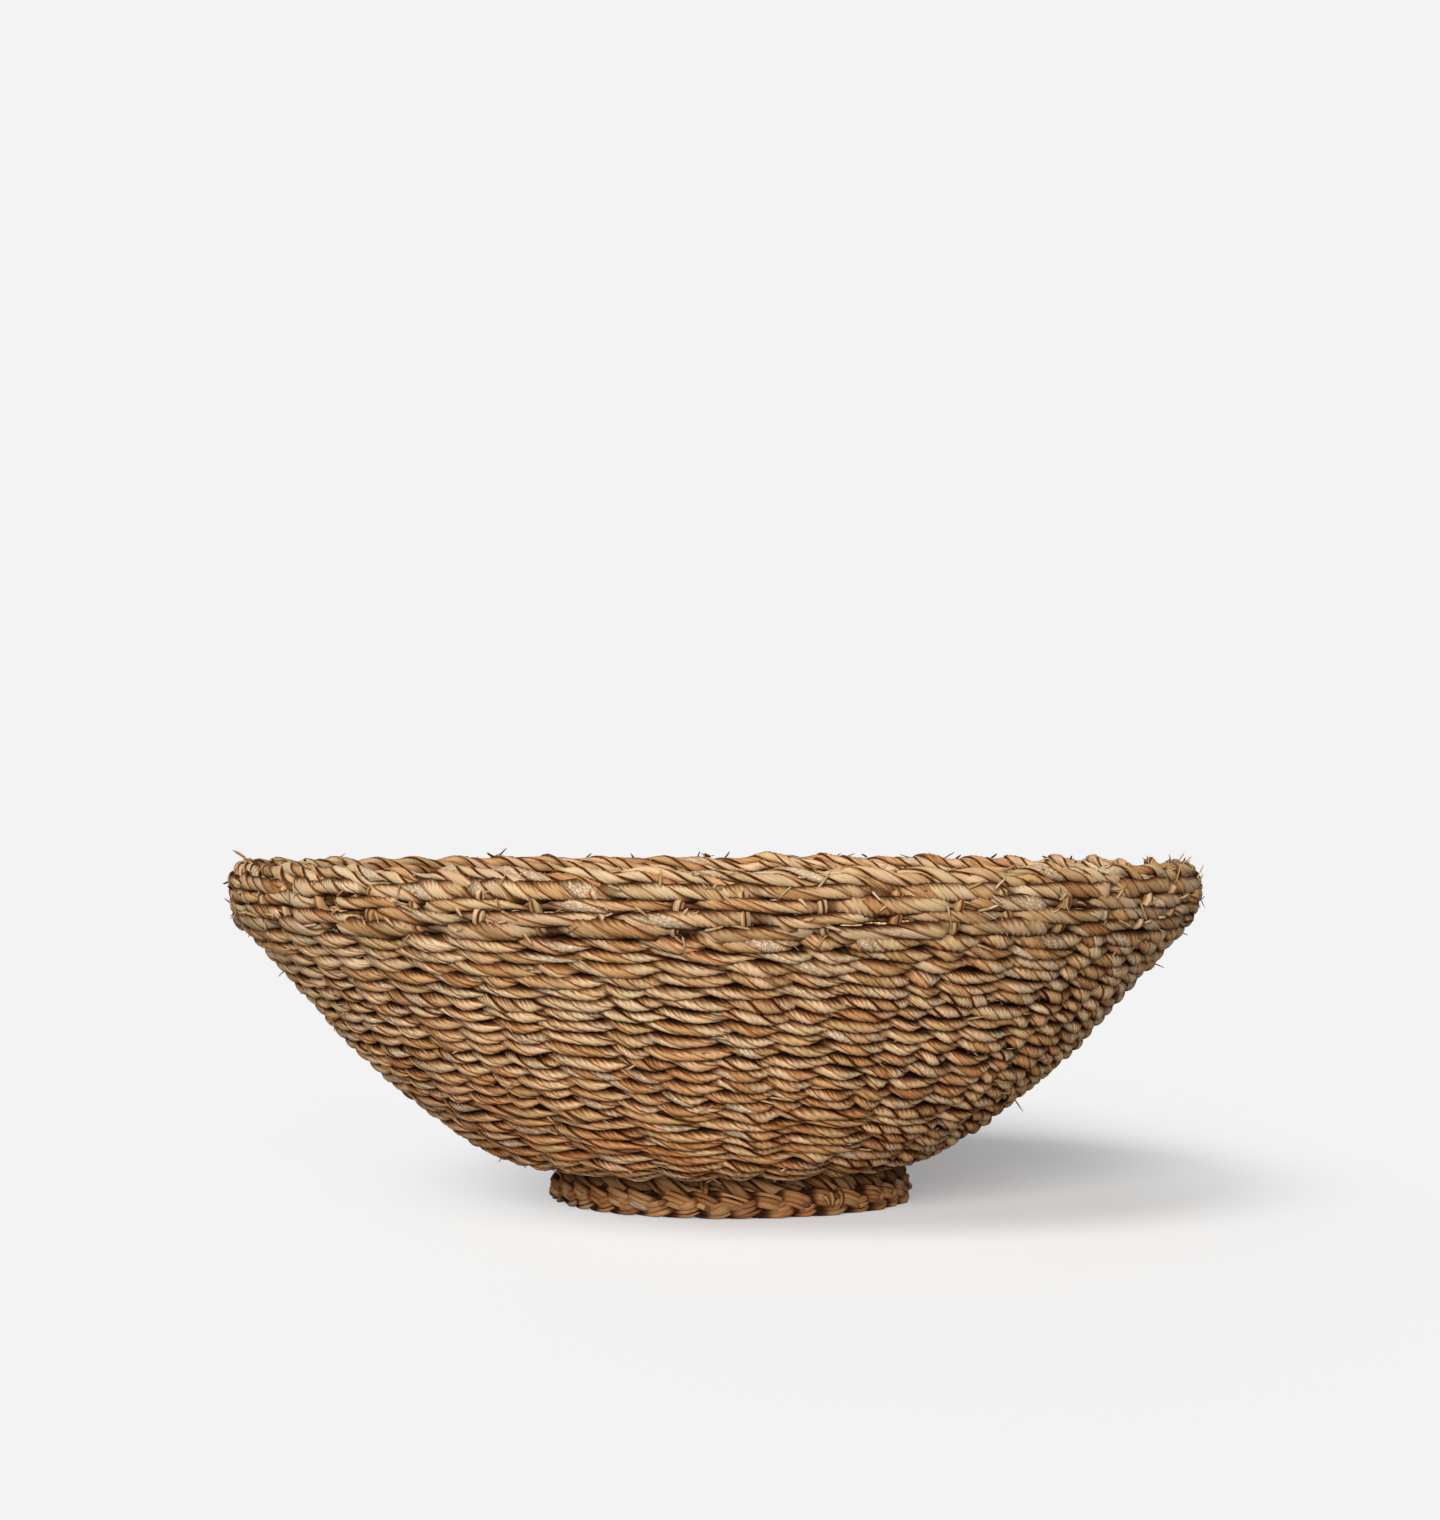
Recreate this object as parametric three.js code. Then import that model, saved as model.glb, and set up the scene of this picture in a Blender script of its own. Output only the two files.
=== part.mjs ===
import * as THREE from 'three';

// A wide round seagrass basket on a rope foot, in millimetres, +Z up.
// The floor is z = 0 and the origin is the middle of the foot's underside.
// Cords cross in the base and run up the wall as stakes. Rope courses weave in front of and
// behind them: round fours in the base, round pairs in the lower wall, round single stakes above.

// Overall sizes
const rimDiameter = 500;
const basketHeight = 173;
const footDiameter = 183;
const baseLineHeight = 27;
const clearance = 0.3;

// Stake cords. The cross that they make in the base is turned so that whole fours leave each side.
const stakeDiameter = 4.6;
const cordSpace = 0.8;
const cordsEachWay = 12;
const crossTurn = Math.PI / 12;
const fanSpacePitches = 3;
const fanTurnShare = 0.4;

// Woven courses
const weaverThickness = 4.8;
const steepestLean = 0.9;
const rimWeaverThickness = 5.6;
const rimCourseHeight = 5.3;
const baseCourses = 4;
const bendSpace = 1;
const wallCourses = 20;
const pairedCourses = 8;
const rimCourses = 4;

// Border rope on top of the rim
const borderWidth = 10;
const borderHeight = 6.6;

// Foot: a fat braid on the floor and one rope course above it, set a little off the middle as in
// handmade work
const footBraidWidth = 11.5;
const footBraidHeight = 11;
const footCourseWidth = 9.5;
const footCourseInset = 3;
const footOffCentre = 8;

// The wall's middle line from the edge of the base to the rim, as shares of its reach outwards
// and of its rise: a flat start, a steady flare and an upright rim.
const wallLineShares = [
  [0, 0],
  [0.104, 0.015],
  [0.203, 0.074],
  [0.355, 0.189],
  [0.546, 0.362],
  [0.699, 0.538],
  [0.844, 0.714],
  [0.946, 0.83],
  [0.986, 0.886],
  [1, 0.95],
  [1, 1],
];

// Steps of a stake along the wall, as shares of the wall line, closer where it bends
const stakeStepShares = [0.05, 0.1, 0.16, 0.28, 0.45, 0.62, 0.8, 0.87, 0.91, 0.95, 1];

// Shares of the wall line over which pairs of stakes open out to single stakes
const openingStartShare = 0.14;
const openingEndShare = 0.4;

// Facets
const weaverSides = 4;
const ropeSides = 6;
const stakeSides = 4;

// Finishes of dry seagrass
const leafRoughness = 0.85;
const stakeColours = [0xa9814f, 0xb08a58];
const baseColour = 0xa67c4a;
const wallColours = [0xb8935c, 0xb08650];
const rimColour = 0xc09b64;
const footColour = 0x9d6d3d;

// Worked out from the sizes above
const stakeEnds = 4 * cordsEachWay;
const fourStakes = 4;
const pairStakes = 2;
const cordPitch = stakeDiameter + cordSpace;
const layerPitch = stakeDiameter + clearance;
const crossReach = cordPitch * (cordsEachWay - 1) / 2;
const crossCorner = crossReach * Math.SQRT2;
const fanEnd = crossCorner + fanSpacePitches * cordPitch;
const baseRadius = footDiameter / 2;
const basePitch = (baseRadius - bendSpace - fanEnd) / baseCourses;
const rimRadius = rimDiameter / 2;

// How far a weaver's middle swings off the stakes' line, so that it clears a stake of the next
// group that is span away
function swingOver(span, thickness) {
  const reach = (thickness + stakeDiameter) / 2 + clearance;
  const lean = Math.min(2 * reach / span, steepestLean);
  return reach / Math.sqrt(1 - lean * lean);
}

const stakeStep = 2 * Math.PI / stakeEnds;
const rimSwing = swingOver(rimRadius * stakeStep, rimWeaverThickness);
const rimLineRadius = rimRadius - rimSwing - rimWeaverThickness / 2;
const rimLineHeight = basketHeight - borderHeight - clearance;
const wallLine = new THREE.SplineCurve(wallLineShares.map(([out, up]) => new THREE.Vector2(
  THREE.MathUtils.lerp(baseRadius, rimLineRadius, out),
  THREE.MathUtils.lerp(baseLineHeight, rimLineHeight, up),
)));
wallLine.arcLengthDivisions = 1000;
const wallLength = wallLine.getLength();
const rimLength = rimCourses * rimCourseHeight;
const wallPitch = (wallLength - rimLength) / wallCourses;

// A place on the stakes' line: inside the base for a negative way, up the wall for a positive one
function lineAt(way) {
  if (way < 0) {
    return { point: new THREE.Vector2(baseRadius + way, baseLineHeight), along: new THREE.Vector2(1, 0) };
  }
  const share = Math.min(way / wallLength, 1);
  return { point: wallLine.getPointAt(share), along: wallLine.getTangentAt(share) };
}

// The angle of a stake's end round the basket: in fours in the base, then in pairs, then evenly
function stakeAngle(end, way) {
  const radius = lineAt(way).point.x;
  const grouped = (size) => {
    const group = Math.floor(end / size);
    const middle = (group + 0.5) * size * stakeStep;
    return middle + (end - group * size - (size - 1) / 2) * cordPitch / radius;
  };
  const toPairs = THREE.MathUtils.smoothstep(way, -2 * basePitch, 0);
  const opening = [openingStartShare * wallLength, openingEndShare * wallLength];
  const toSingles = THREE.MathUtils.smoothstep(way, ...opening);
  const inGroups = THREE.MathUtils.lerp(grouped(fourStakes), grouped(pairStakes), toPairs);
  return THREE.MathUtils.lerp(inGroups, (end + 0.5) * stakeStep, toSingles);
}

function seagrass(colour) {
  return new THREE.MeshStandardMaterial({ color: colour, roughness: leafRoughness, metalness: 0 });
}

const basket = new THREE.Group();

function addPiece(name, geometry, colour) {
  const piece = new THREE.Mesh(geometry, seagrass(colour));
  piece.name = name;
  basket.add(piece);
}

// A closed rope ring: its corner i stands at angles[i], offset off the line by offsets[i]
function ropeRing({ line, width, height, sides, angles, offsets }) {
  const geometry = new THREE.TorusGeometry(2, 1, sides, angles.length);
  const place = geometry.attributes.position;
  const turn = 2 * Math.PI / angles.length;
  const out = new THREE.Vector2(line.along.y, -line.along.x);
  const corner = new THREE.Vector3();
  for (let i = 0; i < place.count; i += 1) {
    corner.fromBufferAttribute(place, i);
    const nth = (Math.round(Math.atan2(corner.y, corner.x) / turn) + angles.length) % angles.length;
    const across = (Math.hypot(corner.x, corner.y) - 2) * width / 2 + offsets[nth];
    const up = corner.z * height / 2;
    const radius = line.point.x + out.x * across + line.along.x * up;
    const level = line.point.y + out.y * across + line.along.y * up;
    place.setXYZ(i, radius * Math.cos(angles[nth]), radius * Math.sin(angles[nth]), level);
  }
  geometry.computeVertexNormals();
  return geometry;
}

// A rope course that passes in front of one group of stakes and behind the next
function wovenCourse({ way, pitch, thickness, size, turnedIn }) {
  const line = lineAt(way);
  const ends = [...Array(stakeEnds).keys()];
  const angles = ends.map((end) => stakeAngle(end, way));
  const span = (angles[size] - angles[size - 1]) * line.point.x;
  const swing = swingOver(span, thickness);
  const offsets = ends.map((end) => ((Math.floor(end / size) + turnedIn) % 2 === 0 ? swing : -swing));
  const height = pitch - clearance;
  return ropeRing({ line, width: thickness, height, sides: weaverSides, angles, offsets });
}

// A plain rope ring that isn't woven
function laidCourse({ point, width, height }) {
  const angles = [...Array(stakeEnds).keys()].map((end) => end * stakeStep);
  const offsets = angles.map(() => 0);
  const line = { point, along: new THREE.Vector2(0, 1) };
  const flatShare = Math.sin(Math.PI / 3);
  return ropeRing({ line, width, height: height / flatShare, sides: ropeSides, angles, offsets });
}

// The route of one cord: up the wall from one end, across the base and up the far side.
// It bends at its steps only, so steps and stations are the same.
class StakeRoute extends THREE.Curve {
  constructor(stations) {
    super();
    this.stations = stations;
  }

  getPoint(share) {
    const last = this.stations.length - 1;
    const place = THREE.MathUtils.clamp(share, 0, 1) * last;
    const from = Math.min(Math.floor(place), last - 1);
    return this.stations[from].clone().lerp(this.stations[from + 1], place - from);
  }

  getPointAt(share) {
    return this.getPoint(share);
  }

  getTangentAt(share) {
    return this.getTangent(share);
  }
}

// Half of a cord, from beside the middle of the base to the rim. across is its place in the
// cross, facing is the way it runs there, and level lifts one set of cords over the other.
function halfRoute(end, across, facing, level) {
  const inCross = (along) => new THREE.Vector3(along, across, 0)
    .applyAxisAngle(new THREE.Vector3(0, 0, 1), facing)
    .setZ(baseLineHeight + level);
  const onLine = (way) => {
    const { point } = lineAt(way);
    const angle = stakeAngle(end, way);
    return new THREE.Vector3(point.x * Math.cos(angle), point.x * Math.sin(angle), point.y);
  };
  const fanned = onLine(fanEnd - baseRadius);
  const leaving = inCross(crossReach + cordPitch / 2);
  const turning = leaving.clone().lerp(fanned, fanTurnShare).setZ(baseLineHeight + level);
  const onBase = [-2 * basePitch, -basePitch, 0].map(onLine);
  const onWall = stakeStepShares.map((share) => onLine(share * wallLength));
  return [leaving, turning, fanned, ...onBase, ...onWall];
}

function stakeCord(nth, facing, level) {
  const across = (nth - (cordsEachWay - 1) / 2) * cordPitch;
  const firstEnd = Math.round(facing / stakeStep) - cordsEachWay / 2 + stakeEnds;
  const nearEnd = (firstEnd + nth) % stakeEnds;
  const farEnd = (firstEnd + stakeEnds / 2 + cordsEachWay - 1 - nth) % stakeEnds;
  const near = halfRoute(nearEnd, across, facing, level);
  const far = halfRoute(farEnd, -across, facing + Math.PI, level);
  const route = new StakeRoute([...far.reverse(), ...near]);
  const section = new THREE.Shape([...Array(stakeSides).keys()].map((side) => new THREE.Vector2(
    Math.cos(2 * Math.PI * side / stakeSides),
    Math.sin(2 * Math.PI * side / stakeSides),
  ).multiplyScalar(stakeDiameter / 2)));
  const steps = route.stations.length - 1;
  return new THREE.ExtrudeGeometry(section, { steps, bevelEnabled: false, extrudePath: route });
}

const twoDigits = (nth) => String(nth + 1).padStart(2, '0');

function addStakes() {
  for (let nth = 0; nth < cordsEachWay; nth += 1) {
    const lower = stakeCord(nth, crossTurn + Math.PI / 2, -layerPitch / 2);
    const upper = stakeCord(nth, crossTurn, layerPitch / 2);
    addPiece(`lower_stake_cord_${twoDigits(nth)}`, lower, stakeColours[0]);
    addPiece(`upper_stake_cord_${twoDigits(nth)}`, upper, stakeColours[1]);
  }
}

function addBase() {
  for (let nth = 0; nth < baseCourses; nth += 1) {
    const way = fanEnd - baseRadius + (nth + 0.5) * basePitch;
    const course = { way, pitch: basePitch, thickness: weaverThickness, size: fourStakes, turnedIn: nth };
    addPiece(`base_course_${twoDigits(nth)}`, wovenCourse(course), baseColour);
  }
}

function addWall() {
  for (let nth = 0; nth < wallCourses; nth += 1) {
    const way = (nth + 0.5) * wallPitch;
    const size = nth < pairedCourses ? pairStakes : 1;
    const course = { way, pitch: wallPitch, thickness: weaverThickness, size, turnedIn: nth };
    addPiece(`wall_course_${twoDigits(nth)}`, wovenCourse(course), wallColours[nth % 2]);
  }
}

function addRim() {
  const size = 1;
  for (let nth = 0; nth < rimCourses; nth += 1) {
    const way = wallLength - rimLength + (nth + 0.5) * rimCourseHeight;
    const turnedIn = wallCourses + nth;
    const course = { way, pitch: rimCourseHeight, thickness: rimWeaverThickness, size, turnedIn };
    addPiece(`rim_course_${twoDigits(nth)}`, wovenCourse(course), rimColour);
  }
  const point = new THREE.Vector2(rimLineRadius, basketHeight - borderHeight / 2);
  addPiece('rim_border', laidCourse({ point, width: borderWidth, height: borderHeight }), rimColour);
}

// The foot's upper course fills the room between the braid and the underside of the base
function addFoot() {
  const braidRadius = (footDiameter - footBraidWidth) / 2;
  const braidMiddle = new THREE.Vector2(braidRadius, footBraidHeight / 2);
  const courseRadius = (footDiameter - footCourseWidth) / 2 - footCourseInset;
  const lastBaseCourse = basket.getObjectByName(`base_course_${twoDigits(baseCourses - 1)}`);
  const base = new THREE.Box3().setFromObject(lastBaseCourse);
  const low = footBraidHeight + clearance;
  const high = base.min.z - clearance;
  const courseMiddle = new THREE.Vector2(courseRadius, (low + high) / 2);
  const braid = laidCourse({ point: braidMiddle, width: footBraidWidth, height: footBraidHeight });
  const course = laidCourse({ point: courseMiddle, width: footCourseWidth, height: high - low });
  addPiece('foot_braid', braid.translate(footOffCentre, 0, 0), footColour);
  addPiece('foot_course', course.translate(footOffCentre, 0, 0), footColour);
}

addStakes();
addBase();
addWall();
addRim();
addFoot();

export default basket;
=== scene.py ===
import math

import bmesh
import bpy
import numpy as np
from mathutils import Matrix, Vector


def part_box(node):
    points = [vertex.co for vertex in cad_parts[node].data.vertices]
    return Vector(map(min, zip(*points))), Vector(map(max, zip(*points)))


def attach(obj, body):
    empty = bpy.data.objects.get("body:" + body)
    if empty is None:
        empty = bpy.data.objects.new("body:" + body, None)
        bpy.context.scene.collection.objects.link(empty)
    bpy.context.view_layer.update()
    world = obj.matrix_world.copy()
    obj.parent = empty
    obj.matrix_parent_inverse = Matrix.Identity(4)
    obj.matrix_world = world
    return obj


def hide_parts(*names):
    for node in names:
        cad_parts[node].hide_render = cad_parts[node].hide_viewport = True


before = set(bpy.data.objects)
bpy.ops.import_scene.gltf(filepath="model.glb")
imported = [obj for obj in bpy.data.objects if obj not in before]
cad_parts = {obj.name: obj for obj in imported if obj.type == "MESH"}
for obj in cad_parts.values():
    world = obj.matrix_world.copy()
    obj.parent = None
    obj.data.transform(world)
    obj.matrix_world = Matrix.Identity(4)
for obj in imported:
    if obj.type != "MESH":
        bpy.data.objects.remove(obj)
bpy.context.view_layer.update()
mm = 0.001
weldGap = 0.0001 * mm
fullTurn = 2 * math.pi
print("frame loaded:", len(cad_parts), "nodes")

# The camera stands where the photographer's did, just above the rim
camera = {
    "distance": 1.67,
    "height": 0.197,
    "side": 0.0026,
    "focalPixels": 3228,
    "horizonPixel": 816,
    "imageWide": 1440,
    "imageTall": 1520,
    "filmWide": 36,
}


def placed(name, data):
    piece = bpy.data.objects.new(name, data)
    bpy.context.scene.collection.objects.link(piece)
    return piece


def placeCamera():
    data = bpy.data.cameras.new("photoCamera")
    data.sensor_fit = "HORIZONTAL"
    data.sensor_width = camera["filmWide"]
    data.lens = camera["filmWide"] * camera["focalPixels"] / camera["imageWide"]
    piece = placed("photoCamera", data)
    piece.location = (camera["side"], -camera["distance"], camera["height"])
    lookUp = math.atan((camera["horizonPixel"] - camera["imageTall"] / 2) / camera["focalPixels"])
    piece.rotation_euler = (math.pi / 2 + lookUp, 0, 0)
    bpy.context.scene.camera = piece


def feed(tree, entry, item):
    # an input takes another node's output or a plain value
    if isinstance(item, Value):
        tree.links.new(item.socket, entry)
    else:
        entry.default_value = item


# Shader maths on one wrapped socket
class Value:
    def __init__(self, tree, socket):
        self.tree = tree
        self.socket = socket

    def math(self, operation, first, second=None):
        node = self.tree.nodes.new("ShaderNodeMath")
        node.operation = operation
        for place, item in enumerate((first, second)):
            if item is not None:
                feed(self.tree, node.inputs[place], item)
        return Value(self.tree, node.outputs[0])

    def __add__(self, other):
        return self.math("ADD", self, other)

    def __radd__(self, other):
        return self.math("ADD", other, self)

    def __sub__(self, other):
        return self.math("SUBTRACT", self, other)

    def __rsub__(self, other):
        return self.math("SUBTRACT", other, self)

    def __mul__(self, other):
        return self.math("MULTIPLY", self, other)

    def __rmul__(self, other):
        return self.math("MULTIPLY", other, self)

    def __pow__(self, other):
        return self.math("POWER", self, other)

    def floor(self):
        return self.math("FLOOR", self)

    def sine(self):
        return self.math("SINE", self)

    def size(self):
        return self.math("ABSOLUTE", self)

    def over(self, low, high):
        # 0 below low, 1 above high, smooth in between
        node = self.tree.nodes.new("ShaderNodeMapRange")
        node.interpolation_type = "SMOOTHSTEP"
        for key, item in (("Value", self), ("From Min", low), ("From Max", high)):
            feed(self.tree, node.inputs[key], item)
        return Value(self.tree, node.outputs["Result"])


# The nodes of a material or of the world
class Shader:
    def __init__(self, owner, outputKind="ShaderNodeOutputMaterial"):
        self.owner = owner
        self.outputKind = outputKind
        owner.use_nodes = True
        self.tree = owner.node_tree
        self.tree.nodes.clear()

    def node(self, kind, settings=None, inputs=None, output=0):
        node = self.tree.nodes.new(kind)
        for key, item in (settings or {}).items():
            if key == "stops":
                self.setStops(node.color_ramp, item)
            else:
                setattr(node, key, item)
        for key, item in (inputs or {}).items():
            feed(self.tree, node.inputs[key], item)
        return Value(self.tree, node.outputs[output])

    def setStops(self, ramp, stops):
        while len(ramp.elements) < len(stops):
            ramp.elements.new(0.5)
        for element, (place, colour) in zip(ramp.elements, stops):
            element.position = place
            element.color = (*colour, 1)

    def vector(self, x, y, z=0.0):
        return self.node("ShaderNodeCombineXYZ", inputs={"X": x, "Y": y, "Z": z})

    def apart(self, vector):
        node = self.tree.nodes.new("ShaderNodeSeparateXYZ")
        self.tree.links.new(vector.socket, node.inputs[0])
        return [Value(self.tree, output) for output in node.outputs]

    def mark(self, name):
        return self.node("ShaderNodeAttribute", {"attribute_name": name}, output=2)

    def random(self, x, y):
        inputs = {"Vector": self.vector(x, y)}
        return self.node("ShaderNodeTexWhiteNoise", {"noise_dimensions": "2D"}, inputs)

    def noise(self, x, y, z, detail):
        inputs = {"Vector": self.vector(x, y, z), "Scale": 1.0, "Detail": detail}
        return self.node("ShaderNodeTexNoise", inputs=inputs)

    def mix(self, share, first, second, blend="MIX"):
        settings = {"data_type": "RGBA", "blend_type": blend, "clamp_factor": True}
        first = first if isinstance(first, Value) else (*first, 1)
        second = second if isinstance(second, Value) else (*second, 1)
        return self.node("ShaderNodeMix", settings, {0: share, 6: first, 7: second}, output=2)

    def times(self, first, second, share=1.0):
        return self.mix(share, first, second, "MULTIPLY")

    def finish(self, surface):
        output = self.tree.nodes.new(self.outputKind)
        self.tree.links.new(surface.socket, output.inputs["Surface"])


# Colours of dry seagrass, in linear light; crease, line and gap are painted shade for its folds,
# the grooves between plies and the crevices between rows
leaf = {
    "straw": (0.60, 0.43, 0.26),
    "tan": (0.52, 0.325, 0.16),
    "wheat": (0.69, 0.51, 0.345),
    "orange": (0.45, 0.235, 0.095),
    "rust": (0.33, 0.15, 0.06),
    "pale": (0.66, 0.55, 0.4),
    "vein": (0.36, 0.26, 0.16),
    "creaseShade": (0.34, 0.2, 0.1),
    # painted shade: line is the dark painted into the groove between plies, gap the near black
    # painted into the crevices between rows
    "line": (0.09, 0.03, 0.008),
    "gap": (0.016, 0.005, 0.001),
}


# How a leaf is marked, the same in every finish. A grain is how fine a pattern is along the leaf
# and around it, and how much it changes from leaf to leaf. A line or a shade is where it begins
# and ends, and a shade's colour.
marking = {
    "step": 0.01,
    "lobeKeys": ((0, 91.7), (31.5, 47.3), (63.5, 23.9)),
    "tone": {"leaf": 0.66, "drift": 0.3, "streak": 0.36, "low": 0.06, "less": 0.12},
    "toneCurve": 1.6,
    "brightness": 1.35,
    "brightnessSpread": 0.28,
    "greener": (0.97, 1.02, 0.96),
    "warmer": (1.03, 0.96, 0.93),
    # the lower wall's height, and the painted light that makes it lighter and warmer
    "lowWall": (20 * mm, 115 * mm),
    "lowWallPaintedLight": (1.1, 1.0, 0.93),
    "streakGrain": (1.1, 14, 60),
    "driftGrain": (0.35, 71),
    "netGrain": (24, 18, 40),
    "netLine": (0.04, 0.26),
    "netGroove": (0.0, 0.15),
    "paperyShare": 0.8,
    "fibreGrain": (2.2, 60, 33),
    "fibreShade": (0.25, 0.7, (0.52, 0.4, 0.28)),
    "fibreShare": 0.32,
    "foldGrain": (0.8, 6, 17),
    "foldPerLobe": 3.7,
    "foldLine": (0.0, 0.035),
    "creaseShade": {"low": 0.3, "high": 0.9, "least": 0.15, "more": 0.6},
    # painted shade of a ply: at its edges, on the sides turned from the rope's front, and in its
    # crevices
    "crownShade": (0.0, 0.5, (0.55, 0.34, 0.2)),
    "sideShade": (-0.5, 0.7, (0.78, 0.5, 0.31)),
    "crossingShade": (0.1, 0.95, (0.7, 0.42, 0.24)),
    # painted shade in the grooves between plies and in the crevices, and the least light left there
    "edgeShadeLine": (-0.3, -0.02),
    "gapLight": 0.03,
    "relief": {"fibre": 0.25, "fold": 0.5, "streak": 0.6, "net": 0.3},
    "bump": 0.8,
    "bumpDeep": 0.5 * mm,
    "rough": 0.9,
    "sheen": 0.3,
    "dull": 0.15,
    "specular": 0.12,
}


def seagrass(name, redder=0.0, darker=0.0, pale=0.1):
    shader = Shader(bpy.data.materials.new(name))
    lay = shader.node("ShaderNodeUVMap", {"uv_map": "UVMap"})
    along, around, _ = shader.apart(lay)
    strand, paintedLight, turned = (shader.mark(name) for name in ("strand", "open", "facing"))

    def grain(name):
        fineAlong, fineAround, change = marking[name]
        return along * fineAlong, around * fineAround, strand * change

    def shaded(value, name):
        dark, light, colour = marking[name]
        return shader.mix(value.over(dark, light), colour, (1, 1, 1))

    # a lobe is the stretch of a ply between two dives under its neighbours; three random
    # values go with each
    facing = turned.over(-marking["step"], marking["step"])
    lobe = (along + 0.5).floor() * facing + (along.floor() + 0.5) * (1 - facing)
    keys = marking["lobeKeys"]
    first, second, third = (shader.random(lobe + shift, strand * change) for shift, change in keys)
    # low is 1 at the bottom of the wall and 0 above lowWall; there the tone turns a little redder
    # and the colour is painted lighter, a painted light
    height = shader.apart(shader.node("ShaderNodeTexCoord", output="Object"))[2]
    low = 1 - height.over(*marking["lowWall"])

    # a leaf keeps its colour over a few lobes, with streaks along it
    streak = shader.noise(*grain("streakGrain"), 3.0)
    driftAlong, driftChange = marking["driftGrain"]
    drift = shader.noise(along * driftAlong, strand * driftChange, 0.0, 1.0)
    share = marking["tone"]
    tone = first ** marking["toneCurve"] * share["leaf"] + drift * share["drift"]
    tone = tone + streak * share["streak"] - share["less"] + redder + low * share["low"]
    stops = [
        (0.0, leaf["wheat"]),
        (0.3, leaf["straw"]),
        (0.55, leaf["tan"]),
        (0.78, leaf["orange"]),
        (1.0, leaf["rust"]),
    ]
    base = shader.node("ShaderNodeValToRGB", {"stops": stops}, {"Fac": tone})
    base = shader.times(base, shader.mix(third, marking["greener"], marking["warmer"]))
    base = shader.mix(low, base, shader.times(base, marking["lowWallPaintedLight"]))

    # some leaves turn their pale papery inside out, with a fine net of veins
    inputs = {"Vector": shader.vector(*grain("netGrain")), "Scale": 1.0}
    net = shader.node("ShaderNodeTexVoronoi", {"feature": "DISTANCE_TO_EDGE"}, inputs)
    papery = second.over(1 - pale, 1 - pale + marking["step"])
    paleNet = shader.mix(net.over(*marking["netLine"]), leaf["vein"], leaf["pale"])
    base = shader.mix(papery * marking["paperyShare"], base, paleNet)

    # fine fibres along the leaf, and folds; the fold lines are darkened with painted shade
    fibre = shader.noise(*grain("fibreGrain"), 4.0)
    base = shader.times(base, shaded(fibre, "fibreShade"), marking["fibreShare"])
    x, y, z = grain("foldGrain")
    fold = shader.noise(x + lobe * marking["foldPerLobe"], y, z, 2.0)
    flat = (fold - 0.5).size().over(*marking["foldLine"])
    share = marking["creaseShade"]
    creaseShade = first.over(share["low"], share["high"]) * share["more"] + share["least"]
    base = shader.times(base, leaf["creaseShade"], (1 - flat) * creaseShade)
    brightness = marking["brightness"] + second * marking["brightnessSpread"] - darker
    base = shader.times(base, shader.vector(brightness, brightness, brightness))

    # painted shade: each ply is painted browner and darker towards its edges, on the sides turned
    # from the rope's front and in the crevices, brown as light that comes back out of the rope from
    # leaf to leaf
    crown = (around * fullTurn).sine()
    base = shader.times(base, shaded(crown, "crownShade"))
    shade = shader.times(shaded(turned.size(), "sideShade"), shaded(paintedLight, "crossingShade"))
    base = shader.times(base, shade)

    # painted shade: the strand's inner side and its edges are painted dark, as in the rope's shade,
    # and the crevices between rows and the deep places near black
    edge = crown.over(*marking["edgeShadeLine"])
    base = shader.mix(edge, leaf["line"], base)
    lit = paintedLight * (1 - marking["gapLight"]) + marking["gapLight"]
    base = shader.mix(lit, leaf["gap"], base)

    share = marking["relief"]
    relief = fibre * share["fibre"] + flat * share["fold"] + streak * share["streak"]
    relief = relief - net.over(*marking["netGroove"]) * papery * share["net"]
    inputs = {"Strength": marking["bump"], "Distance": marking["bumpDeep"], "Height": relief}
    bump = shader.node("ShaderNodeBump", inputs=inputs)
    sheen = marking["sheen"] - fibre * marking["dull"]
    inputs = {
        "Base Color": base,
        "Normal": bump,
        "Roughness": marking["rough"] - edge * paintedLight * sheen,
        "Specular IOR Level": marking["specular"],
    }
    shader.finish(shader.node("ShaderNodeBsdfPrincipled", inputs=inputs))
    return shader.owner


# The wall's middle line, read from the courses of the frame: base, wall and rim in turn
def middleOf(node):
    count = len(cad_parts[node].data.vertices)
    points = np.zeros(count * 3)
    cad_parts[node].data.vertices.foreach_get("co", points)
    points = points.reshape(-1, 3)
    return np.hypot(points[:, 0], points[:, 1]).mean(), points[:, 2].mean()


def nodesNamed(start):
    return sorted(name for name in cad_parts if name.startswith(start))


baseNodes = nodesNamed("base_course")
wallNodes = nodesNamed("wall_course")
rimNodes = nodesNamed("rim_course")
linePoints = np.array([middleOf(node) for node in baseNodes + wallNodes + rimNodes])
steps = np.hypot(*np.diff(linePoints, axis=0).T)
lineWay = np.concatenate([[0], np.cumsum(steps)])
lineSlope = np.gradient(linePoints, lineWay, axis=0)
firstWall = len(baseNodes)
lastWall = firstWall + len(wallNodes) - 1
firstRim = -len(rimNodes)
wallStart = lineWay[firstWall - 1] + (lineWay[firstWall] - lineWay[firstWall - 1]) / 2
lineWay = lineWay - wallStart
basePitch = lineWay[1] - lineWay[0]
wallPitch = (lineWay[lastWall] - lineWay[firstWall]) / (len(wallNodes) - 1)
wallEnd = wallPitch * len(wallNodes)
rimStart = lineWay[firstRim]
rimPitch = (lineWay[-1] - rimStart) / (len(rimNodes) - 1)
borderRadius, borderHeight = middleOf("rim_border")
upright = np.array([0, 0, 1.0])


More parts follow.
